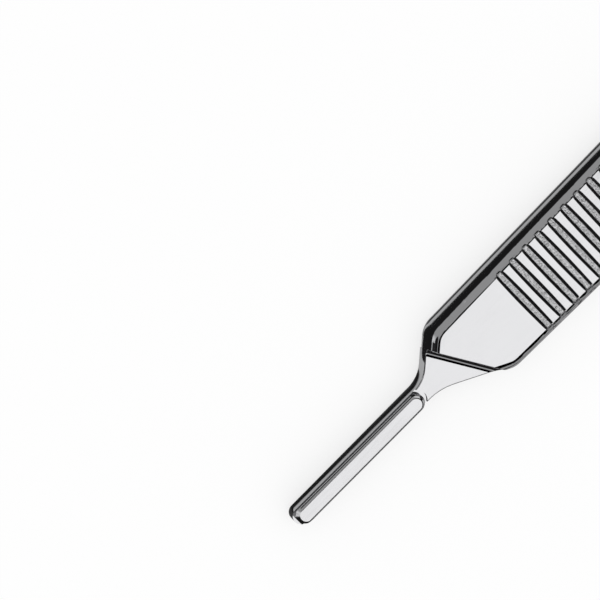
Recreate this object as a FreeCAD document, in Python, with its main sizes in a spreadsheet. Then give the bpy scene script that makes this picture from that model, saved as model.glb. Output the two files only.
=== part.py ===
import FreeCAD, Part
import math
import os
import re
import Sketcher

# A flat scalpel handle for small-fitting blades: one bar of stainless steel.
# X runs along the handle from the tail (-X) to the blade end (+X), Y across it and +Z is up.
# The bar is drawn about its own middle plane and then laid with its back face flat on z = 0.
# "From the tip" below is a distance along the handle, back from the very front of the tongue.

SIZES = [
    # the bar as a whole
    ("handle_length", 125.0, "tip of the tongue to the end of the tail"),
    ("front_width", 8.9, "width of the bar where the short flank ends"),
    ("tail_width", 13.0, "width where the sides turn in to the tail"),
    ("shoulder_thickness", 3.6, "thickness of the bar at the shoulder"),
    ("tail_thickness", 1.5, "thickness of the bar at the end of the tail"),
    ("front_rounding", 0.92, "rounding of the long edges at the grip and the shoulder"),
    ("tail_rounding", 0.38, "rounding of the edges round the tail"),
    # the tail
    ("tail_taper", 6.9, "length over which the sides turn in"),
    ("tail_tip_radius", 4.8, "radius of the end in plan"),
    ("tail_corner_radius", 8.0, "radius where each side turns in"),
    # the neck, seen from above
    ("tang_width", 1.74, "width of the tongue and of the tang under it"),
    ("short_flank_start", 0.9, "behind the tongue, where the short flank leaves the tang"),
    ("short_flank_end", 4.7, "behind the tongue, where the short flank meets the side"),
    ("long_flank_start", 1.6, "behind the tongue, where the long flank leaves the tang"),
    ("long_flank_end", 8.2, "behind the tongue, where the long flank meets the side"),
    ("short_neck_radius", 3.4, "hollow at the foot of the short flank"),
    ("long_neck_radius", 5.4, "hollow at the foot of the long flank"),
    ("shoulder_corner_radius", 2.5, "outer corner of each shoulder"),
    # the slanted step between the face and the neck
    ("shoulder_distance", 5.15, "from the back end of the tongue to the step, on the centre line"),
    ("shoulder_angle", 28.7, "slant of the step, in degrees"),
    ("neck_thickness", 1.74, "thickness of the neck"),
    ("back_step", 0.42, "depth of the neck below the back face"),
    ("neck_rounding", 0.1, "rounding of the neck's top edges"),
    ("face_cove", 0.8, "hollow at the foot of the front step"),
    ("back_cove", 0.35, "hollow at the foot of the back step"),
    # the tongue that holds the blade
    ("tongue_length", 17.1, "tip to the back end of the tongue"),
    ("tongue_rise", 0.59, "height of the tongue above the neck"),
    ("tongue_rounding", 0.24, "rounding of its top edges"),
    ("lip_height", 0.35, "height of the lip above the blade slot"),
    ("slot_height", 0.45, "height of the blade slot"),
    ("slot_depth", 0.28, "depth of the blade slot"),
    ("tip_bevel_length", 0.62, "length of the bevel that goes round the front of the tongue"),
    ("tip_bevel_drop", 0.7, "height of that bevel"),
    ("tip_bevel_radius", 0.68, "radius of the bevel's top edge"),
    ("underside_rise", 0.15, "how much thinner the tang is at its tip"),
    # the grip grooves
    ("groove_count", 15.0, "grooves on each face"),
    ("first_groove", 30.3, "from the tip to the first groove"),
    ("groove_pitch", 1.756, "distance between grooves"),
    ("groove_width", 1.14, "width of a groove at the face"),
    ("groove_floor", 0.5, "width of a groove's floor"),
    ("groove_depth", 0.24, "depth of a groove below the face"),
    ("groove_overrun", 0.5, "reach of a groove past the edge of the face"),
    ("groove_end", 0.5, "length over which each end of a groove runs out"),
]

os.makedirs("parts", exist_ok=True)
doc = FreeCAD.newDocument("scalpel_handle")
sheet = doc.addObject("Spreadsheet::Sheet", "sizes")
for row, (alias, value, note) in enumerate(SIZES, start=1):
    sheet.set(f"A{row}", str(value))
    sheet.setAlias(f"A{row}", alias)
    sheet.set(f"B{row}", note)
doc.recompute()


def named(text):
    """The expression with every size name pointed at the sheet. Each size name has an underscore."""
    return re.sub(r"[a-z]+(_[a-z]+)+", r"<<sizes>>.\g<0>", text)


def value_of(text):
    """What an expression comes to now."""
    result = sheet.evalExpression(named(text))
    return float(getattr(result, "Value", result))


def plane_of(body, role):
    return next(item for item in body.Origin.OriginFeatures if item.Role == role)


def new_sketch(body, name, role, offset=("0", "0", "0")):
    """A sketch on one of the body's own planes, moved by an offset in the sketch's own axes."""
    sketch = body.newObject("Sketcher::SketchObject", name)
    sketch.AttachmentSupport = [(plane_of(body, role), "")]
    sketch.MapMode = "FlatFace"
    for axis, text in zip("xyz", offset):
        if text != "0":
            sketch.setExpression(f"AttachmentOffset.Base.{axis}", named(text))
    doc.recompute()
    return sketch


def pin_point(sketch, geometry, end, place):
    """Holds one end of a line or arc at a place given by two expressions."""
    for kind, text in zip(("DistanceX", "DistanceY"), place):
        index = sketch.addConstraint(Sketcher.Constraint(kind, -1, 1, geometry, end, value_of(text)))
        sketch.setExpression(f"Constraints[{index}]", named(text))


def joined_lines(sketch, places, closed=False):
    """Straight lines from place to place, each end held by its two expressions."""
    points = [FreeCAD.Vector(value_of(x), value_of(y), 0) for x, y in places]
    ends = points[1:] + points[:1] if closed else points[1:]
    lines = [sketch.addGeometry(Part.LineSegment(start, end), False) for start, end in zip(points, ends)]
    following = lines[1:] + lines[:1] if closed else lines[1:]
    for line, other in zip(lines, following):
        sketch.addConstraint(Sketcher.Constraint("Coincident", line, 2, other, 1))
    for line, place in zip(lines, places):
        pin_point(sketch, line, 1, place)
    if not closed:
        pin_point(sketch, lines[-1], 2, places[-1])
    return lines


def arc_on_axis(sketch, centre_x, radius, start_angle, end_angle):
    """An arc whose centre is on the middle line. Its ends are held by what it is joined to."""
    circle = Part.Circle(FreeCAD.Vector(value_of(centre_x), 0, 0), FreeCAD.Vector(0, 0, 1), radius)
    arc = sketch.addGeometry(Part.ArcOfCircle(circle, start_angle, end_angle), False)
    index = sketch.addConstraint(Sketcher.Constraint("DistanceX", -1, 1, arc, 3, value_of(centre_x)))
    sketch.setExpression(f"Constraints[{index}]", named(centre_x))
    return arc


def cut(body, name, sketch, length=None, upwards=False, both=False):
    """A pocket from the sketch, through everything or to a length."""
    base = body.Tip
    pocket = body.newObject("PartDesign::Pocket", name)
    pocket.Profile = sketch
    pocket.Reversed = upwards
    pocket.Midplane = both
    pocket.Refine = False
    if length is None:
        pocket.Type = "ThroughAll"
    else:
        pocket.setExpression("Length", named(length))
    doc.recompute()
    check_taken(base, pocket)
    return pocket


def check_taken(base, feature):
    """Stops the build where a cut takes nothing off."""
    if base.Shape.common(feature.AddSubShape).Volume < 1e-3:
        raise RuntimeError(f"{feature.Label} cuts nothing")


def edges_where(shape, test):
    return [f"Edge{number}" for number, edge in enumerate(shape.Edges, start=1) if test(edge)]


def round_edges(body, name, radius, test):
    base = body.Tip
    names = edges_where(base.Shape, test)
    if not names:
        raise RuntimeError(f"{name} finds no edge")
    fillet = body.newObject("PartDesign::Fillet", name)
    fillet.Base = (base, names)
    fillet.Refine = False
    fillet.setExpression("Radius", named(radius))
    doc.recompute()
    if "Invalid" in fillet.State:
        raise RuntimeError(f"{name} can't be rounded")
    return fillet


# Lengths along the bar, written once. Half the thickness and width grow evenly along it.
TIP = "handle_length / 2"
TAIL = "-handle_length / 2"
SHORT_FLANK_START = "(tongue_length + short_flank_start)"
SHORT_FLANK_END = "(tongue_length + short_flank_end)"
LONG_FLANK_START = "(tongue_length + long_flank_start)"
LONG_FLANK_END = "(tongue_length + long_flank_end)"
SHOULDER = "(tongue_length + shoulder_distance)"
THICKNESS_SLOPE = f"(shoulder_thickness - tail_thickness) / (handle_length - {SHOULDER})"
WIDTH_SLOPE = f"(tail_width - front_width) / (handle_length - tail_taper - {SHORT_FLANK_END})"
GRIP_END = "(first_groove + groove_count * groove_pitch)"


def half_thickness(from_tip):
    return f"(tail_thickness + {THICKNESS_SLOPE} * (handle_length - ({from_tip}))) / 2"


def half_width(from_tip):
    return f"(front_width + {WIDTH_SLOPE} * (({from_tip}) - {SHORT_FLANK_END})) / 2"


NECK_BOTTOM = "(back_step - shoulder_thickness / 2)"
NECK_TOP = "(back_step - shoulder_thickness / 2 + neck_thickness)"
TONGUE_TOP = "(back_step - shoulder_thickness / 2 + neck_thickness + tongue_rise)"
FRONT_ROOM = "(handle_length / 2 + tang_width)"

# The blank: a bar whose thickness tapers to the tail, cut to its outline.
blank = doc.addObject("PartDesign::Body", "blank")
side_view = new_sketch(blank, "side_view", "XZ_Plane")
joined_lines(side_view, [
    (TAIL, f"-{half_thickness('handle_length')}"),
    (TIP, f"-{half_thickness('0')}"),
    (TIP, half_thickness("0")),
    (TAIL, half_thickness("handle_length")),
], closed=True)
bar = blank.newObject("PartDesign::Pad", "bar")
bar.Profile = side_view
bar.Midplane = True
bar.setExpression("Length", named("2 * tail_width"))
doc.recompute()

# The outline seen from above: the tang, two flanks of different slope, straight sides and a rounded tail.
# Each side has a point at the back of the grip, where the rounding of its edges starts to get smaller.
HALF_TANG = "tang_width / 2"
outline = new_sketch(blank, "outline", "XY_Plane")
short_side = joined_lines(outline, [
    (f"{TIP} - {HALF_TANG}", f"-{HALF_TANG}"),
    (f"{TIP} - {SHORT_FLANK_START}", f"-{HALF_TANG}"),
    (f"{TIP} - {SHORT_FLANK_END}", f"-{half_width(SHORT_FLANK_END)}"),
    (f"{TIP} - {GRIP_END}", f"-{half_width(GRIP_END)}"),
    (f"{TAIL} + tail_taper", "-tail_width / 2"),
])
long_side = joined_lines(outline, [
    (f"{TAIL} + tail_taper", "tail_width / 2"),
    (f"{TIP} - {GRIP_END}", half_width(GRIP_END)),
    (f"{TIP} - {LONG_FLANK_END}", half_width(LONG_FLANK_END)),
    (f"{TIP} - {LONG_FLANK_START}", HALF_TANG),
    (f"{TIP} - {HALF_TANG}", HALF_TANG),
])
front_arc = arc_on_axis(outline, f"{TIP} - {HALF_TANG}", value_of(HALF_TANG), -math.pi / 2, math.pi / 2)
outline.addConstraint(Sketcher.Constraint("Coincident", front_arc, 1, short_side[0], 1))
outline.addConstraint(Sketcher.Constraint("Coincident", front_arc, 2, long_side[-1], 2))

# the tail's arc touches the two lines that turn in to it
tail_centre = FreeCAD.Vector(value_of(f"{TAIL} + tail_tip_radius"), 0, 0)
tail_corner = FreeCAD.Vector(value_of(f"{TAIL} + tail_taper"), value_of("tail_width / 2"), 0)
to_corner = tail_corner - tail_centre
tail_radius = value_of("tail_tip_radius")
touch_angle = math.atan2(to_corner.y, to_corner.x) + math.acos(tail_radius / to_corner.Length)
touch = tail_centre + FreeCAD.Vector(math.cos(touch_angle), math.sin(touch_angle), 0) * tail_radius
tail_arc = arc_on_axis(outline, f"{TAIL} + tail_tip_radius", tail_radius, touch_angle, 2 * math.pi - touch_angle)
index = outline.addConstraint(Sketcher.Constraint("Radius", tail_arc, tail_radius))
outline.setExpression(f"Constraints[{index}]", named("tail_tip_radius"))
outline.addConstraint(Sketcher.Constraint("PointOnObject", tail_arc, 3, -1))
for mirrored, side, side_end, arc_end in ((1, long_side[0], 1, 1), (-1, short_side[-1], 2, 2)):
    corner = FreeCAD.Vector(tail_corner.x, mirrored * tail_corner.y, 0)
    end = FreeCAD.Vector(touch.x, mirrored * touch.y, 0)
    turning = outline.addGeometry(Part.LineSegment(corner, end), False)
    outline.addConstraint(Sketcher.Constraint("Coincident", turning, 1, side, side_end))
    outline.addConstraint(Sketcher.Constraint("Tangent", turning, 2, tail_arc, arc_end))
joined_lines(outline, [
    (f"{TAIL} - tail_width", "-2 * tail_width"),
    (f"{TIP} + tail_width", "-2 * tail_width"),
    (f"{TIP} + tail_width", "2 * tail_width"),
    (f"{TAIL} - tail_width", "2 * tail_width"),
], closed=True)
cut(blank, "outline_cut", outline, both=True)


def upright_at(x_text, y_text):
    """A test for the upright edge at one corner of the outline."""
    place = FreeCAD.Vector(value_of(x_text), value_of(y_text), 0)

    def test(edge):
        ends = [vertex.Point for vertex in edge.Vertexes]
        return len(ends) == 2 and all(math.hypot(end.x - place.x, end.y - place.y) < 1e-4 for end in ends)
    return test


round_edges(blank, "short_neck_round", "short_neck_radius",
            upright_at(f"{TIP} - {SHORT_FLANK_START}", f"-{HALF_TANG}"))
round_edges(blank, "long_neck_round", "long_neck_radius",
            upright_at(f"{TIP} - {LONG_FLANK_START}", HALF_TANG))
round_edges(blank, "short_shoulder_round", "shoulder_corner_radius",
            upright_at(f"{TIP} - {SHORT_FLANK_END}", f"-{half_width(SHORT_FLANK_END)}"))
round_edges(blank, "long_shoulder_round", "shoulder_corner_radius",
            upright_at(f"{TIP} - {LONG_FLANK_END}", half_width(LONG_FLANK_END)))
round_edges(blank, "short_tail_round", "tail_corner_radius",
            upright_at(f"{TAIL} + tail_taper", "-tail_width / 2"))
round_edges(blank, "long_tail_round", "tail_corner_radius",
            upright_at(f"{TAIL} + tail_taper", "tail_width / 2"))

# A plane just in front of the step parts the bar into the grip, whose long edges are rounded, and the neck.
PARTING = f"({SHOULDER} - face_cove / 2 / cos(shoulder_angle))"
front_block = doc.addObject("Part::Box", "front_block")
for side, text in (("Length", "handle_length"), ("Width", "4 * tail_width"), ("Height", "4 * shoulder_thickness")):
    front_block.setExpression(side, named(text))
for axis, text in (
    ("x", f"{TIP} - {PARTING} + 2 * tail_width * sin(shoulder_angle)"),
    ("y", "-2 * tail_width * cos(shoulder_angle)"),
    ("z", "-2 * shoulder_thickness"),
):
    front_block.setExpression(f"Placement.Base.{axis}", named(text))
front_block.setExpression("Placement.Rotation.Angle", named("shoulder_angle"))
grip_blank = doc.addObject("Part::Cut", "grip_blank")
grip_blank.Base, grip_blank.Tool = blank, front_block
neck_blank = doc.addObject("Part::Common", "neck_blank")
neck_blank.Base, neck_blank.Tool = blank, front_block
doc.recompute()


def ends_of(edge):
    return [vertex.Point for vertex in edge.Vertexes]


def is_on_slant(point, from_tip):
    """Whether a point is on the slanted plane that crosses the centre line at a distance from the tip."""
    slant = value_of("tan(shoulder_angle)")
    return abs(point.x + point.y * slant - value_of(f"{TIP} - ({from_tip})")) < 1e-4


def rounding_at(x):
    """The rounding at a place along the bar: even round the tail, growing along the sides, even on the grip."""
    tail_end = value_of(f"{TAIL} + tail_taper")
    grown = max(0.0, (x - tail_end) / (value_of(f"{TIP} - {GRIP_END}") - tail_end))
    return value_of("tail_rounding") + min(1.0, grown) * value_of("front_rounding - tail_rounding")


def is_long_edge(edge):
    """Whether an edge goes round one of the two broad faces, other than at the step."""
    ends = ends_of(edge)
    for end in ends:
        half = value_of(half_thickness(f"{value_of(TIP)} - ({end.x})"))
        if abs(abs(end.z) - half) > 1e-4:
            return False
    same_face = ends[0].z * ends[-1].z > 0
    return same_face and not all(is_on_slant(end, PARTING) for end in ends)


def rounding_along(number, edge):
    """The edge's number and its rounding at each end, in the direction that the fillet runs."""
    first = rounding_at(edge.valueAt(edge.FirstParameter).x)
    last = rounding_at(edge.valueAt(edge.LastParameter).x)
    return (number, last, first) if edge.Orientation == "Reversed" else (number, first, last)


rounded_grip = doc.addObject("Part::Fillet", "rounded_grip")
rounded_grip.Base = grip_blank
rounded_grip.Edges = [
    rounding_along(number, edge)
    for number, edge in enumerate(grip_blank.Shape.Edges, start=1) if is_long_edge(edge)
]
whole_blank = doc.addObject("Part::Fuse", "whole_blank")
whole_blank.Base, whole_blank.Tool = rounded_grip, neck_blank
doc.recompute()

# The neck: both faces are cut down in front of the step by cutters with a rounded back edge.
STEP_SLANT = "tail_width * tan(shoulder_angle)"
STEP_FRONT = [
    (f"{TIP} - {SHOULDER} - {STEP_SLANT}", "tail_width"),
    (f"{TIP} - {SHOULDER} + {STEP_SLANT}", "-tail_width"),
    (FRONT_ROOM, "-tail_width"),
    (FRONT_ROOM, "tail_width"),
]


def step_cutter(name, height_text, round_text, downwards):
    """What a cutter takes off one face: everything in front of the step, beyond a height."""
    body = doc.addObject("PartDesign::Body", name)
    sketch = new_sketch(body, f"{name}_plan", "XY_Plane", ("0", "0", height_text))
    joined_lines(sketch, STEP_FRONT, closed=True)
    pad = body.newObject("PartDesign::Pad", f"{name}_pad")
    pad.Profile = sketch
    pad.Reversed = downwards
    pad.setExpression("Length", named("2 * shoulder_thickness"))
    doc.recompute()
    height = value_of(height_text)
    round_edges(body, f"{name}_round", round_text,
                lambda edge: all(abs(end.z - height) < 1e-4 and is_on_slant(end, SHOULDER)
                             for end in ends_of(edge)))
    return body


def tongue_outline(sketch, back_from_tip, half_width_text, past_tip):
    """Two straight sides with a round back end and a square front."""
    centre = f"{TIP} - ({back_from_tip}) + ({half_width_text})"
    front = f"{TIP} + ({past_tip})"
    lines = joined_lines(sketch, [
        (centre, f"-({half_width_text})"),
        (front, f"-({half_width_text})"),
        (front, half_width_text),
        (centre, half_width_text),
    ])
    arc = arc_on_axis(sketch, centre, value_of(half_width_text), math.pi / 2, 3 * math.pi / 2)
    sketch.addConstraint(Sketcher.Constraint("Coincident", arc, 2, lines[0], 1))
    sketch.addConstraint(Sketcher.Constraint("Coincident", arc, 1, lines[-1], 2))


face_cutter = step_cutter("face_cutter", NECK_TOP, "face_cove", downwards=False)
tongue_left = new_sketch(face_cutter, "tongue_left", "XY_Plane", ("0", "0", NECK_TOP))
tongue_outline(tongue_left, "tongue_length", HALF_TANG, "2 * tang_width")
cut(face_cutter, "tongue_left_cut", tongue_left, length="tongue_rise", upwards=True)
tongue_height = value_of(TONGUE_TOP)
round_edges(face_cutter, "tongue_round", "tongue_rounding",
            lambda edge: all(abs(end.z - tongue_height) < 1e-4 for end in ends_of(edge)))
back_cutter = step_cutter("back_cutter", NECK_BOTTOM, "back_cove", downwards=True)
cut_faces = whole_blank
for name, tool in (("face_cut", face_cutter), ("back_cut", back_cutter)):
    step = doc.addObject("Part::Cut", name)
    step.Base, step.Tool = cut_faces, tool
    cut_faces = step
doc.recompute()

# The grip: grooves across both faces with a flat floor and four sloping walls. Each is a little longer
# than the face is wide there, and its cutter stands as far above the face as it goes below it.
WALL_RUN = "((groove_width - groove_floor) / 2)"


def groove_cutter(number):
    """What one groove takes off the front face."""
    from_tip = f"(first_groove + {number} * groove_pitch)"
    reach = f"({half_width(from_tip)} - front_rounding + groove_overrun)"
    floor_half = "(groove_floor / 2)"
    cutter = doc.addObject("Part::Wedge", f"groove_cutter_{number}")
    cutter.Placement.Rotation = FreeCAD.Rotation(FreeCAD.Vector(1, 0, 0), 90)
    cutter.Ymin = 0
    for side, text in (
        ("Ymax", "2 * groove_depth"),
        ("Xmin", f"-{floor_half}"), ("Xmax", floor_half),
        ("X2min", f"-{floor_half} - 2 * {WALL_RUN}"), ("X2max", f"{floor_half} + 2 * {WALL_RUN}"),
        ("Zmin", f"groove_end - {reach}"), ("Zmax", f"{reach} - groove_end"),
        ("Z2min", f"-groove_end - {reach}"), ("Z2max", f"{reach} + groove_end"),
        ("Placement.Base.x", f"{TIP} - {from_tip}"),
        ("Placement.Base.z", f"{half_thickness(from_tip)} - groove_depth"),
    ):
        cutter.setExpression(side, named(text))
    return cutter


front_grooves = doc.addObject("Part::Compound", "front_grooves")
front_grooves.Links = [groove_cutter(number) for number in range(round(value_of("groove_count")))]
back_grooves = doc.addObject("Part::Mirroring", "back_grooves")
back_grooves.Source = front_grooves
back_grooves.Normal = (0, 0, 1)
for name, tool in (("front_grooves_cut", front_grooves), ("back_grooves_cut", back_grooves)):
    step = doc.addObject("Part::Cut", name)
    step.Base, step.Tool = cut_faces, tool
    cut_faces = step
doc.recompute()

# The handle itself: the tongue's details, cut into the grooved blank.
handle = doc.addObject("PartDesign::Body", "handle")
handle.BaseFeature = cut_faces
doc.recompute()

# a bevel lets the blade slide on over the round front of the tongue: half a turn about an upright line
bevel = new_sketch(handle, "bevel", "XZ_Plane", (f"{TIP} - tip_bevel_length - tip_bevel_radius", "0", "0"))
joined_lines(bevel, [
    ("tip_bevel_radius", TONGUE_TOP),
    ("tip_bevel_radius + 2 * tip_bevel_length", f"{TONGUE_TOP} - 2 * tip_bevel_drop"),
    ("tip_bevel_radius + 2 * tip_bevel_length", f"{TONGUE_TOP} + tongue_rise"),
    ("tip_bevel_radius", f"{TONGUE_TOP} + tongue_rise"),
], closed=True)
bevel_cut = handle.newObject("PartDesign::Groove", "bevel_cut")
bevel_cut.Profile = bevel
bevel_cut.ReferenceAxis = (bevel, ["V_Axis"])
bevel_cut.Angle = 180
bevel_cut.Midplane = True
bevel_cut.Refine = False
doc.recompute()
check_taken(handle.BaseFeature, bevel_cut)

underside = new_sketch(handle, "underside", "XZ_Plane")
joined_lines(underside, [
    (f"{TIP} - tongue_length", NECK_BOTTOM),
    (f"{TIP} - tongue_length", f"{NECK_BOTTOM} - underside_rise"),
    (f"{TIP} + tongue_length", f"{NECK_BOTTOM} - underside_rise"),
    (f"{TIP} + tongue_length", f"{NECK_BOTTOM} + 2 * underside_rise"),
], closed=True)
cut(handle, "underside_cut", underside, both=True)

# the slot that the blade slides in runs round the tongue under its lip
slot = new_sketch(handle, "slot", "XY_Plane", ("0", "0", f"{TONGUE_TOP} - lip_height"))
tongue_outline(slot, "tongue_length + slot_depth", f"{HALF_TANG} + slot_depth", HALF_TANG)
tongue_outline(slot, "tongue_length - slot_depth", f"{HALF_TANG} - slot_depth", "-slot_depth")
cut(handle, "slot_cut", slot, length="slot_height")

# the neck's top edges are broken, from the slot to the step
neck_height = value_of(NECK_TOP)


def is_flank_top(edge):
    """Whether an edge is the straight top of one of the two flanks. The rounding runs on from it by itself."""
    ends = ends_of(edge)
    level = all(abs(end.z - neck_height) < 1e-4 for end in ends)
    on_flank = all(value_of(TIP) - end.x > value_of(SHORT_FLANK_START) for end in ends)
    at_step = all(is_on_slant(end, f"{SHOULDER} - face_cove / cos(shoulder_angle)") for end in ends)
    return level and on_flank and not at_step


round_edges(handle, "neck_round", "neck_rounding", is_flank_top)

# The handle is laid down: its back face slopes by half the bar's taper, so it is turned level and lifted.
BACK_SLOPE = f"atan({THICKNESS_SLOPE} / 2)"
handle.Placement.Rotation = FreeCAD.Rotation(FreeCAD.Vector(0, -1, 0), 0)
handle.setExpression("Placement.Rotation.Angle", named(BACK_SLOPE))
handle.setExpression("Placement.Base.z", named(f"{half_thickness('handle_length / 2')} * cos({BACK_SLOPE})"))
doc.recompute()

for item in doc.Objects:
    if "Invalid" in item.State or "Error" in item.State:
        raise RuntimeError(f"{item.Label} can't be built: {item.State}")
result = handle.Tip.Shape
if result.isNull() or not result.isValid() or len(result.Solids) != 1:
    raise RuntimeError("the handle isn't one sound solid")
handle.Label = "handle"
handle.Shape.exportStep(f"parts/{handle.Label}.step")
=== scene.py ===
import math

import bmesh
import bpy
from mathutils import Matrix, Vector


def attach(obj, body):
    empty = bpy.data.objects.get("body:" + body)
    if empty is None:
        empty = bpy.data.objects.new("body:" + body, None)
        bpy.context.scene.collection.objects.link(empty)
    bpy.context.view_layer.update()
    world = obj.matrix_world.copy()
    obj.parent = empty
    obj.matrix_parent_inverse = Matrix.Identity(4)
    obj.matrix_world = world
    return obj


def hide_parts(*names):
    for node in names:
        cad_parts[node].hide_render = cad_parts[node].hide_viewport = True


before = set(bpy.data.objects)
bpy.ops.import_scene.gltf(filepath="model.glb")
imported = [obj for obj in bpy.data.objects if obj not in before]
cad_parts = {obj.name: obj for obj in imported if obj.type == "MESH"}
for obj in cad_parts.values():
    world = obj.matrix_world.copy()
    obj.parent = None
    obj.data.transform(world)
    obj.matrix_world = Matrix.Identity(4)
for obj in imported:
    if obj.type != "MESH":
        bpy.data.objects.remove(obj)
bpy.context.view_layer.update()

# A flat steel scalpel handle lies on its back face on a pale floor.
# X runs along it to the blade end, Y across it and Z up. Lengths are in metres.

MM = 0.001
SAME_PLACE = 1e-7

# The handle: its tip, its front face, its sides, which taper evenly, and those of the tongue
TIP_X = 62.5 * MM
FACE_HEIGHT_AT_MIDDLE = 2.777 * MM
FACE_SLOPE = 0.02044
EDGE_ROUNDING = 0.87 * MM
SIDE_AT_MIDDLE = 5.32 * MM
SIDE_SLOPE = -0.0213
TONGUE_SIDE = 0.87 * MM

# The grip grooves. Places across the grip are given as at the middle of the handle.
FIRST_GROOVE_X = TIP_X - 30.3 * MM
GROOVE_PITCH = 1.756 * MM
LAST_GROOVE = 14
GROOVE_HALF_WIDTH = 0.57 * MM
GROOVE_FLOOR_HALF = 0.25 * MM
GROOVE_DEPTH = 0.24 * MM
GROOVE_TIP = 4.80 * MM
GROOVE_END_RUN = 0.5 * MM
FLAT_END = 4.45 * MM
DEEP_END = 4.66 * MM
ROUND_START = 4.15 * MM
LENS_SHARE = 0.15
NARROWEST_SHARE = 0.2
CUTS_ACROSS_GRIP = [0.9, 1.8, 2.6, 3.3, 3.9, 4.15, 4.28, 4.40, 4.50, 4.59, 4.66, 4.71]
RIM_MARGIN = 0.04 * MM
DEPTH_MARGIN = 0.1 * MM
TURNED = math.cos(math.radians(12))
FROST_EDGE = 0.08 * MM
FROST_END_START = 0.10 * MM
FROST_END_REACH = 0.02 * MM

# The back end of the tongue, which leans forward above the neck
TONGUE_BACK = 45.3 * MM
LEAN_START = 46.0 * MM
LEAN_END = 47.3 * MM
LEAN_HALF_WIDTH = 1.0 * MM
NECK_TOP = 2.21 * MM
TONGUE_RISE = 0.59 * MM
LEAN = 0.25 * MM

# The square outline near the tail
MARK_X = -45.8 * MM
MARK_SIDE = 4.1 * MM
MARK_LINE = 0.13 * MM
MARK_THICKNESS = 0.03 * MM
MARK_STAND = 0.006 * MM

# The camera
VIEW_TILT = math.radians(22.5)
CAMERA_TURN = math.radians(44.9)
CAMERA_DISTANCE = 500 * MM
FRAME_WIDTH = 57.09 * MM
MIDDLE_ALONG = 47.26 * MM
MIDDLE_ACROSS = -14.53 * MM
TIP_HEIGHT = 1.94 * MM

# The floor
FLOOR_HALF_SIZE = 12.0
FLOOR_DROP = 0.02 * MM
EVEN_SHARE = 0.7

# The dome that only reflections show, whose glow paints the reflections of the polished steel, in shares of
# its radius where no other unit is given.
# The front face mirrors its white panel, a painted reflection with a painted dark ring round it.
SCREEN_RADIUS = 3.0
SCREEN_BOTTOM = -0.3
DARK = 0.015
GREY = 0.45
LIGHT_GREY = 1.0
PANEL_LIGHT = 1.45
PANEL_TILT = VIEW_TILT + math.radians(2)
PANEL_SHIFT = 0.03
PANEL_STRETCH = 1.6
REACH_BEHIND = 0.68
WHITE_PANEL = math.sin(math.radians(3.6))
PANEL_FADE = 0.006
DARK_RING = math.sin(math.radians(22))
RING_FADE = 0.015
DARK_TOP_AT_SIDES = math.radians(6)
DARK_TOP_AT_TIP = math.radians(18)
DARK_TOP_AT_TAIL = math.radians(27)
DARK_TOP_FADE = 0.05
# The painted dark band of the reflections rises behind the handle and towards its ends, where the painted
# grey is lighter too
BEHIND_FADE = 0.1
BESIDE_START = 0.5
BESIDE_END = 0.6
ENDS_START = 0.3
ENDS_FULL = 0.6
LIGHTER_START = 0.45
LIGHTER_FULL = 0.7
# The direction of each dark disc, a painted dark reflection, and its size in degrees. The short flank's
# rounded edge mirrors the first two, and the tongue's back end mirrors the last.
DARK_DISCS = [
    ((0.595, -0.159, 0.788), 21),
    ((0.807, -0.429, 0.407), 12),
    ((-0.708, 0.383, 0.594), 11),
]
DISC_FADE = 2
DISC_SHADE = 0.03

# The dark sheet that only reflections show, which paints dark and grey reflections in the handle's sides,
# with a clear strip beside the handle
PAINTED_SHEET_DROP = 0.01 * MM
FLANKS_X = 42 * MM
FLANKS_FADE = 2 * MM
STRIP_START = 0.55 * MM
STRIP_END = 0.80 * MM
STRIP_START_AT_TONGUE = 0.72 * MM
STRIP_END_AT_TONGUE = 1.4 * MM
STRIP_FADE = 0.05 * MM
STRIP_VEIL = 0.35
# Close beside the handle, a painted grey contact shadow that its lower edges mirror
CLOSE_SHADE = 0.22
CLOSE_SHARE_AT_TONGUE = 0.2
CLOSE_FADE_START = 0.3 * MM
CLOSE_FADE_END = 0.5 * MM
BACK_FADE = 1 * MM


# Nodes of the materials

def value_input(tree, socket, value):
    """Links a socket to another one, or sets it to a number."""
    if isinstance(value, bpy.types.NodeSocket):
        tree.links.new(value, socket)
    else:
        socket.default_value = value


def calculate(tree, operation, *values):
    node = tree.nodes.new("ShaderNodeMath")
    node.operation = operation
    for socket, value in zip(node.inputs, values):
        value_input(tree, socket, value)
    return node.outputs[0]


def ease(tree, value, low, high, to_low=0.0, to_high=1.0):
    """A smooth change from one value to another as the input goes from low to high."""
    node = tree.nodes.new("ShaderNodeMapRange")
    node.interpolation_type = "SMOOTHSTEP"
    for name, number in (("Value", value), ("From Min", low), ("From Max", high),
                         ("To Min", to_low), ("To Max", to_high)):
        value_input(tree, node.inputs[name], number)
    return node.outputs["Result"]


def mixed(tree, share, first, second):
    """The first value where the share is zero, and the second where it is one."""
    node = tree.nodes.new("ShaderNodeMix")
    for socket, value in zip((node.inputs[0], node.inputs[2], node.inputs[3]), (share, first, second)):
        value_input(tree, socket, value)
    return node.outputs[0]


def mixed_shaders(tree, share, first, second):
    node = tree.nodes.new("ShaderNodeMixShader")
    for socket, source in zip(node.inputs, (share, first, second)):
        tree.links.new(source, socket)
    return node.outputs[0]


def object_place(tree):
    """The place on the piece, and its X, Y and Z."""
    place = tree.nodes.new("ShaderNodeTexCoord").outputs["Object"]
    split = tree.nodes.new("ShaderNodeSeparateXYZ")
    tree.links.new(place, split.inputs[0])
    return place, split.outputs


def along_direction(tree, place, direction):
    """How far a place on the dome lies along a direction, as a share of the dome's radius."""
    node = tree.nodes.new("ShaderNodeVectorMath")
    node.operation = "DOT_PRODUCT"
    tree.links.new(place, node.inputs[0])
    node.inputs[1].default_value = direction / SCREEN_RADIUS
    return node.outputs["Value"]


def angle_from(tree, place, direction):
    """The angle between a place on the dome and a direction."""
    along = along_direction(tree, place, direction)
    return calculate(tree, "ARCCOSINE", calculate(tree, "MINIMUM", along, 1.0))


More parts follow.
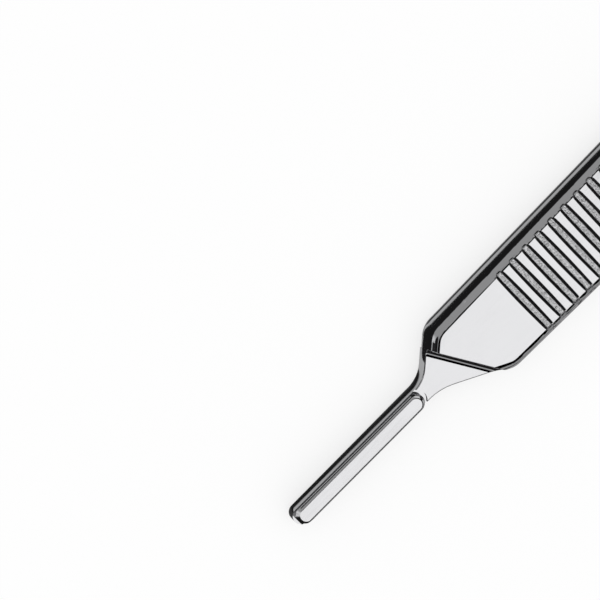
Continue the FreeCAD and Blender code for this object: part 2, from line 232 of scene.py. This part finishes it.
def grain(tree, place, size, stretch=(1.0, 1.0, 1.0), detail=3.0):
    """Noise whose lumps are about the given size, longer along an axis with a stretch below one."""
    mapping = tree.nodes.new("ShaderNodeMapping")
    tree.links.new(place, mapping.inputs["Vector"])
    mapping.inputs["Scale"].default_value = stretch
    noise = tree.nodes.new("ShaderNodeTexNoise")
    tree.links.new(mapping.outputs[0], noise.inputs["Vector"])
    noise.inputs["Scale"].default_value = 1.0 / size
    noise.inputs["Detail"].default_value = detail
    return noise.outputs["Fac"]


def varied(tree, noise, low, high):
    """A value that goes from low to high over the middle range of a noise."""
    return ease(tree, noise, 0.3, 0.7, low, high)


def raised(tree, height, distance, strength, under=None):
    bump = tree.nodes.new("ShaderNodeBump")
    tree.links.new(height, bump.inputs["Height"])
    bump.inputs["Distance"].default_value = distance
    value_input(tree, bump.inputs["Strength"], strength)
    if under is not None:
        tree.links.new(under, bump.inputs["Normal"])
    return bump.outputs["Normal"]


# Materials and pieces in general

def new_material(name, base_color, metallic):
    material = bpy.data.materials.new(name)
    material.use_nodes = True
    shader = material.node_tree.nodes["Principled BSDF"]
    shader.inputs["Base Color"].default_value = (*base_color, 1.0)
    shader.inputs["Metallic"].default_value = metallic
    return material, material.node_tree, shader


def empty_material(name):
    material = bpy.data.materials.new(name)
    material.use_nodes = True
    material.node_tree.nodes.clear()
    return material, material.node_tree


def glow_of(tree, shade):
    """A light of its own, as bright as the shade says."""
    light = tree.nodes.new("ShaderNodeEmission")
    tree.links.new(shade, light.inputs["Strength"])
    return light.outputs[0]


def show_surface(tree, surface):
    out = tree.nodes.new("ShaderNodeOutputMaterial")
    tree.links.new(surface, out.inputs["Surface"])


def add_piece(name, shape, material):
    """Makes an object of a finished bmesh, with one material."""
    mesh = bpy.data.meshes.new(name)
    shape.to_mesh(mesh)
    shape.free()
    mesh.materials.append(material)
    piece = bpy.data.objects.new(name, mesh)
    bpy.context.collection.objects.link(piece)
    return piece


def flat_square(half_size, drop):
    """A square below the height of the handle's back face."""
    shape = bmesh.new()
    bmesh.ops.create_grid(shape, x_segments=1, y_segments=1, size=half_size)
    bmesh.ops.translate(shape, vec=(0, 0, -drop), verts=shape.verts)
    return shape


def show_in_reflections(piece):
    """Shows a piece only in reflections."""
    piece.visible_camera = False
    piece.visible_diffuse = False
    piece.visible_shadow = False


# The handle

def groove_mask(tree, axes):
    """One on the floors of the grip grooves and zero elsewhere."""
    count = calculate(tree, "DIVIDE", calculate(tree, "SUBTRACT", FIRST_GROOVE_X, axes[0]), GROOVE_PITCH)
    nearest = calculate(tree, "MAXIMUM", calculate(tree, "ROUND", count), 0.0)
    nearest = calculate(tree, "MINIMUM", nearest, LAST_GROOVE)
    apart = calculate(tree, "ABSOLUTE", calculate(tree, "SUBTRACT", count, nearest))
    floor_edge = GROOVE_FLOOR_HALF / GROOVE_PITCH
    frost_edge = (GROOVE_FLOOR_HALF + FROST_EDGE) / GROOVE_PITCH
    along = ease(tree, apart, floor_edge, frost_edge, 1.0, 0.0)
    reach = calculate(tree, "MULTIPLY_ADD", axes[0], SIDE_SLOPE, GROOVE_TIP)
    past = calculate(tree, "SUBTRACT", calculate(tree, "ABSOLUTE", axes[1]), reach)
    across = ease(tree, past, -FROST_END_START, FROST_END_REACH, 1.0, 0.0)
    return calculate(tree, "MULTIPLY", along, across)


def satin_steel():
    """Polished stainless steel with a faint lengthways grain, frosted in the grip grooves."""
    material, tree, shader = new_material("satin_steel", (0.55, 0.55, 0.56), 1.0)
    place, axes = object_place(tree)
    frosted = groove_mask(tree, axes)

    drawn = grain(tree, place, 0.12 * MM, stretch=(0.04, 1.0, 1.0))
    cloudy = grain(tree, place, 6 * MM)
    polish = calculate(tree, "ADD", varied(tree, drawn, -0.02, 0.02), varied(tree, cloudy, 0.06, 0.09))
    matt = varied(tree, grain(tree, place, 0.2 * MM), 0.12, 0.22)
    value_input(tree, shader.inputs["Roughness"], mixed(tree, frosted, polish, matt))

    fine_lines = raised(tree, drawn, 0.002 * MM, 0.25)
    speckle = raised(tree, grain(tree, place, 0.2 * MM, detail=2.0), 0.013 * MM, frosted, fine_lines)
    tree.links.new(speckle, shader.inputs["Normal"])
    return material


def face_height(x):
    """The height of the front face, which slopes evenly from the shoulder to the tail."""
    return FACE_HEIGHT_AT_MIDDLE + FACE_SLOPE * x


def across_grip(place):
    """The distance from the middle line, measured so that both sides of the grip lie at one distance."""
    return abs(place.y) - SIDE_SLOPE * place.x


def narrowed(across):
    """The share of its width that a groove keeps: a slight lens that closes in a round end."""
    lens = 1 - LENS_SHARE * (across / GROOVE_TIP) ** 2
    into_end = min(1.0, max(0.0, (across - ROUND_START) / (GROOVE_TIP - ROUND_START)))
    return lens * max(NARROWEST_SHARE, math.sqrt(1 - into_end ** 2))


def deepened(place, across):
    """How far down a point of a groove's end moves, so that the floor runs on and ends in a steeper wall."""
    depth = face_height(place.x) - place.z
    if not FLAT_END < across < GROOVE_TIP or depth > GROOVE_DEPTH + DEPTH_MARGIN:
        return 0.0
    edge = EDGE_ROUNDING - math.sqrt(EDGE_ROUNDING ** 2 - (across - FLAT_END) ** 2)
    wall = GROOVE_DEPTH * (1 - (across - FLAT_END) / GROOVE_END_RUN)
    up_wall = max(0.0, across - DEEP_END) / (GROOVE_TIP - DEEP_END)
    steep = GROOVE_DEPTH - (GROOVE_DEPTH - edge) * up_wall
    share = min(1.0, max(0.0, (depth - edge) / (wall - edge)))
    return share * (steep - wall)


def groove_shift(place):
    """How far a point of a groove moves along the handle and up or down. Other points stay."""
    number = min(LAST_GROOVE, max(0, round((FIRST_GROOVE_X - place.x) / GROOVE_PITCH)))
    apart = place.x - (FIRST_GROOVE_X - number * GROOVE_PITCH)
    across = across_grip(place)
    if abs(apart) > GROOVE_HALF_WIDTH + RIM_MARGIN or across > GROOVE_TIP:
        return Vector((0, 0, 0))
    return Vector((apart * (narrowed(across) - 1), 0, -deepened(place, across)))


def lean_share(place):
    """One at the tongue's back end, falling to zero further along, and how fast it falls."""
    if not TONGUE_BACK < place.x < LEAN_END or place.z < NECK_TOP or abs(place.y) > LEAN_HALF_WIDTH:
        return 0.0, 0.0
    along = min(1.0, max(0.0, (place.x - LEAN_START) / (LEAN_END - LEAN_START)))
    return 1 - along * along * (3 - 2 * along), -6 * along * (1 - along) / (LEAN_END - LEAN_START)


def leaned(place):
    """How far the tongue's back end leans forward at a point."""
    return lean_share(place)[0] * LEAN * (place.z - NECK_TOP) / TONGUE_RISE


def leaned_shade(place, shade):
    """The shading direction of a point after the tongue's back end leans."""
    share, fall = lean_share(place)
    stretch = 1 + fall * LEAN * (place.z - NECK_TOP) / TONGUE_RISE
    along = shade.x / stretch
    return Vector((along, shade.y, shade.z - along * share * LEAN / TONGUE_RISE)).normalized()


def cut_across_grip(shape):
    """Adds edges across the grooves, closer together towards their ends, for the rounded shape."""
    for side in (-1, 1):
        for across in CUTS_ACROSS_GRIP:
            everything = shape.verts[:] + shape.edges[:] + shape.faces[:]
            bmesh.ops.bisect_plane(shape, geom=everything, dist=SAME_PLACE,
                                   plane_co=(0, side * across * MM, 0), plane_no=(-SIDE_SLOPE, side, 0))
    bmesh.ops.triangulate(shape, faces=shape.faces)


def steel_handle():
    """The handle with grooves that narrow towards rounded ends. Its shading is kept corner by corner."""
    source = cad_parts["handle"]
    shape = bmesh.new()
    shape.from_mesh(source.data)
    shading = shape.loops.layers.float_vector.new("shading")
    for polygon, face in zip(source.data.polygons, shape.faces):
        for index, loop in zip(polygon.loop_indices, face.loops):
            loop[shading] = source.data.corner_normals[index].vector
    bmesh.ops.remove_doubles(shape, verts=shape.verts, dist=SAME_PLACE)
    cut_across_grip(shape)

    moved = set()
    for vert in shape.verts:
        lean = leaned(vert.co)
        for loop in vert.link_loops:
            loop[shading] = leaned_shade(vert.co, loop[shading].normalized())
        shift = groove_shift(vert.co)
        if shift.length:
            vert.co += shift
            moved.add(vert)
        vert.co.x += lean

    # A corner whose old shading no longer suits its moved face takes the face's own direction
    shape.normal_update()
    shades = []
    for face in shape.faces:
        touched = any(vert in moved for vert in face.verts)
        for loop in face.loops:
            kept = loop[shading].normalized()
            turned = touched and face.normal.dot(kept) < TURNED
            shades.append(face.normal.copy() if turned else kept)
    shape.loops.layers.float_vector.remove(shading)

    piece = add_piece("steel_handle", shape, satin_steel())
    piece.data.polygons.foreach_set("use_smooth", [True] * len(piece.data.polygons))
    piece.data.normals_split_custom_set(shades)
    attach(piece, "root")
    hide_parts("handle")


def etched_steel():
    """The dark grey of a mark etched into steel."""
    material, tree, shader = new_material("etched_steel", (0.16, 0.16, 0.165), 1.0)
    place, _ = object_place(tree)
    value_input(tree, shader.inputs["Roughness"], varied(tree, grain(tree, place, 0.08 * MM), 0.45, 0.65))
    return material


def marking_frame():
    """A plain square outline on the front face near the tail."""
    shape = bmesh.new()
    bmesh.ops.create_grid(shape, x_segments=1, y_segments=1, size=MARK_SIDE / 2)
    bmesh.ops.inset_region(shape, faces=shape.faces[:], thickness=MARK_LINE, depth=0.0,
                           use_boundary=True, use_even_offset=True)
    middle_face = min(shape.faces, key=lambda face: face.calc_center_median().length)
    bmesh.ops.delete(shape, geom=[middle_face], context="FACES")
    bmesh.ops.solidify(shape, geom=shape.faces[:], thickness=MARK_THICKNESS)
    highest = max(vert.co.z for vert in shape.verts)
    bmesh.ops.translate(shape, vec=(0, 0, MARK_STAND - highest), verts=shape.verts)
    bmesh.ops.recalc_face_normals(shape, faces=shape.faces)
    turn = Matrix.Rotation(-math.atan(FACE_SLOPE), 4, "Y")
    lift = Matrix.Translation((MARK_X, 0, face_height(MARK_X)))
    bmesh.ops.transform(shape, matrix=lift @ turn, verts=shape.verts)
    piece = add_piece("marking_frame", shape, etched_steel())
    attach(piece, "root")


# The stage: a pale floor, white light from all round, and a glowing dome and dark sheet of painted
# reflections that the polished steel mirrors

def floor_material():
    """White paper: most of its brightness is even, so that the shadow on it is a light one."""
    material, tree, shader = new_material("pale_floor", (0.97, 0.97, 0.97), 0.0)
    place, _ = object_place(tree)
    value_input(tree, shader.inputs["Roughness"], varied(tree, grain(tree, place, 20 * MM), 0.85, 0.95))
    shader.inputs["Specular IOR Level"].default_value = 0.0
    glow = tree.nodes.new("ShaderNodeEmission")
    glow.inputs["Color"].default_value = (1.0, 1.0, 1.0, 1.0)
    rays = tree.nodes.new("ShaderNodeLightPath").outputs
    seen = calculate(tree, "MAXIMUM", rays["Is Camera Ray"], rays["Is Glossy Ray"])
    seen = calculate(tree, "MAXIMUM", seen, rays["Is Transmission Ray"])
    even = calculate(tree, "MULTIPLY", seen, EVEN_SHARE)
    surface = mixed_shaders(tree, even, shader.outputs[0], glow.outputs[0])
    tree.links.new(surface, tree.nodes["Material Output"].inputs["Surface"])
    return material


def pale_floor():
    floor = add_piece("pale_floor", flat_square(FLOOR_HALF_SIZE, FLOOR_DROP), floor_material())


def height_of_dark_band(tree, forward, side):
    """The angle above the floor up to which the dome is dark."""
    behind = ease(tree, side, 0.0, BEHIND_FADE)
    beside = ease(tree, side, BESIDE_START, BESIDE_END, 1.0, 0.0)
    at_tip = ease(tree, forward, ENDS_START, ENDS_FULL, 0.0, DARK_TOP_AT_TIP)
    at_tail = ease(tree, forward, -ENDS_FULL, -ENDS_START, DARK_TOP_AT_TAIL, 0.0)
    at_tail = calculate(tree, "MULTIPLY", at_tail, beside)
    raised_part = calculate(tree, "MULTIPLY", behind, calculate(tree, "ADD", at_tip, at_tail))
    return calculate(tree, "ADD", raised_part, DARK_TOP_AT_SIDES)


def distance_from_panel(tree, place, forward):
    """The distance from the middle of the white panel, which is longer along the handle than across it."""
    sideways = along_direction(tree, place, Vector((0, math.cos(PANEL_TILT), -math.sin(PANEL_TILT))))
    before = calculate(tree, "MULTIPLY", sideways, -1.0)
    sideways = calculate(tree, "MAXIMUM", before, calculate(tree, "MULTIPLY", sideways, REACH_BEHIND))
    endways = calculate(tree, "DIVIDE", calculate(tree, "ADD", forward, PANEL_SHIFT), PANEL_STRETCH)
    endways = calculate(tree, "ABSOLUTE", endways)
    squares = calculate(tree, "ADD", calculate(tree, "POWER", sideways, 2.0),
                        calculate(tree, "POWER", endways, 2.0))
    return calculate(tree, "SQRT", squares)


def painted_dome_material():
    """Painted reflections: the white panel with its dark ring, the dark discs, grey higher up and dark low
    down.
    """
    material, tree = empty_material("painted_reflection_dome")
    place, axes = object_place(tree)
    height = calculate(tree, "ARCSINE", calculate(tree, "DIVIDE", axes[2], SCREEN_RADIUS))
    forward = calculate(tree, "DIVIDE", axes[0], SCREEN_RADIUS)
    towards_end = calculate(tree, "ABSOLUTE", forward)
    side = calculate(tree, "DIVIDE", axes[1], SCREEN_RADIUS)

    above = calculate(tree, "SUBTRACT", height, height_of_dark_band(tree, forward, side))
    grey = ease(tree, towards_end, LIGHTER_START, LIGHTER_FULL, GREY, LIGHT_GREY)
    shade = ease(tree, above, -DARK_TOP_FADE, DARK_TOP_FADE, DARK, grey)
    apart = distance_from_panel(tree, place, forward)
    outside = ease(tree, apart, DARK_RING - RING_FADE, DARK_RING + RING_FADE)
    shade = calculate(tree, "MULTIPLY", shade, outside)
    for direction, size in DARK_DISCS:
        low, high = math.radians(size - DISC_FADE), math.radians(size + DISC_FADE)
        beyond = ease(tree, angle_from(tree, place, Vector(direction)), low, high, DISC_SHADE, 1.0)
        shade = calculate(tree, "MULTIPLY", shade, beyond)
    panel = ease(tree, apart, WHITE_PANEL - PANEL_FADE, WHITE_PANEL + PANEL_FADE, PANEL_LIGHT, 0.0)
    show_surface(tree, glow_of(tree, calculate(tree, "ADD", shade, panel)))
    return material


def painted_reflection_dome():
    """A dome round the handle that only its reflections show, glowing with painted reflections."""
    shape = bmesh.new()
    bmesh.ops.create_icosphere(shape, subdivisions=6, radius=SCREEN_RADIUS)
    below = [vert for vert in shape.verts if vert.co.z < SCREEN_BOTTOM]
    bmesh.ops.delete(shape, geom=below, context="VERTS")
    show_in_reflections(add_piece("painted_reflection_dome", shape, painted_dome_material()))


def painted_sheet_material():
    """Painted reflections: dark in front and at the ends, grey behind and as a painted shadow close beside
    the handle, with a narrow clear strip beside the handle.
    """
    material, tree = empty_material("painted_reflection_sheet")
    place, axes = object_place(tree)
    at_tongue = ease(tree, axes[0], FLANKS_X - FLANKS_FADE, FLANKS_X + FLANKS_FADE)
    side = calculate(tree, "MULTIPLY_ADD", axes[0], SIDE_SLOPE, SIDE_AT_MIDDLE)
    narrowing = calculate(tree, "MULTIPLY", at_tongue, calculate(tree, "SUBTRACT", side, TONGUE_SIDE))
    side = calculate(tree, "SUBTRACT", side, narrowing)
    past = calculate(tree, "SUBTRACT", calculate(tree, "ABSOLUTE", axes[1]), side)

    strip_start = ease(tree, at_tongue, 0.0, 1.0, STRIP_START, STRIP_START_AT_TONGUE)
    strip_end = ease(tree, at_tongue, 0.0, 1.0, STRIP_END, STRIP_END_AT_TONGUE)
    past_start = calculate(tree, "SUBTRACT", past, strip_start)
    past_end = calculate(tree, "SUBTRACT", past, strip_end)
    before = ease(tree, past_start, -STRIP_FADE, STRIP_FADE, 1.0, STRIP_VEIL)
    beyond = ease(tree, past_end, -STRIP_FADE, STRIP_FADE)
    covered = calculate(tree, "MAXIMUM", before, beyond)

    grey = ease(tree, at_tongue, 0.0, 1.0, GREY, 0.0)
    behind = calculate(tree, "MULTIPLY", ease(tree, axes[1], -BACK_FADE, BACK_FADE), grey)
    close = ease(tree, past, CLOSE_FADE_START, CLOSE_FADE_END, CLOSE_SHADE, 0.0)
    close_share = ease(tree, at_tongue, 0.0, 1.0, 1.0, CLOSE_SHARE_AT_TONGUE)
    close = calculate(tree, "MULTIPLY", close, close_share)
    shade = calculate(tree, "ADD", calculate(tree, "MAXIMUM", behind, close), DARK)

    clear = tree.nodes.new("ShaderNodeBsdfTransparent").outputs[0]
    show_surface(tree, mixed_shaders(tree, covered, clear, glow_of(tree, shade)))
    return material


def painted_reflection_sheet():
    """A dark sheet of painted reflections, which the sides of the handle mirror beyond the strip of pale
    floor.
    """
    show_in_reflections(add_piece("painted_reflection_sheet", flat_square(SCREEN_RADIUS, PAINTED_SHEET_DROP), painted_sheet_material()))


def white_light():
    world = bpy.data.worlds.new("white_light")
    bpy.context.scene.world = world
    world.use_nodes = True
    background = world.node_tree.nodes["Background"]
    background.inputs["Color"].default_value = (1.0, 1.0, 1.0, 1.0)
    background.inputs["Strength"].default_value = 1.0


def place_camera():
    """The camera looks down on the blade end from beside the short flank, as in the photograph."""
    backwards = Vector((-1, 0, 0))
    over = Vector((0, math.cos(VIEW_TILT), math.sin(VIEW_TILT)))
    right = math.cos(CAMERA_TURN) * backwards + math.sin(CAMERA_TURN) * over
    up = math.sin(CAMERA_TURN) * backwards - math.cos(CAMERA_TURN) * over
    towards_camera = right.cross(up)
    middle = Vector((MIDDLE_ALONG, 0, TIP_HEIGHT)) + MIDDLE_ACROSS * over
    camera_data = bpy.data.cameras.new("camera")
    camera_data.sensor_width = 36
    camera_data.lens = camera_data.sensor_width * CAMERA_DISTANCE / FRAME_WIDTH
    camera_data.clip_start = 0.01
    camera = bpy.data.objects.new("camera", camera_data)
    bpy.context.collection.objects.link(camera)
    camera.matrix_world = (Matrix.Translation(middle + towards_camera * CAMERA_DISTANCE)
                           @ Matrix((right, up, towards_camera)).transposed().to_4x4())
    bpy.context.scene.camera = camera


steel_handle()
marking_frame()
pale_floor()
painted_reflection_dome()
painted_reflection_sheet()
white_light()
place_camera()
bpy.context.scene.view_settings.view_transform = "Standard"
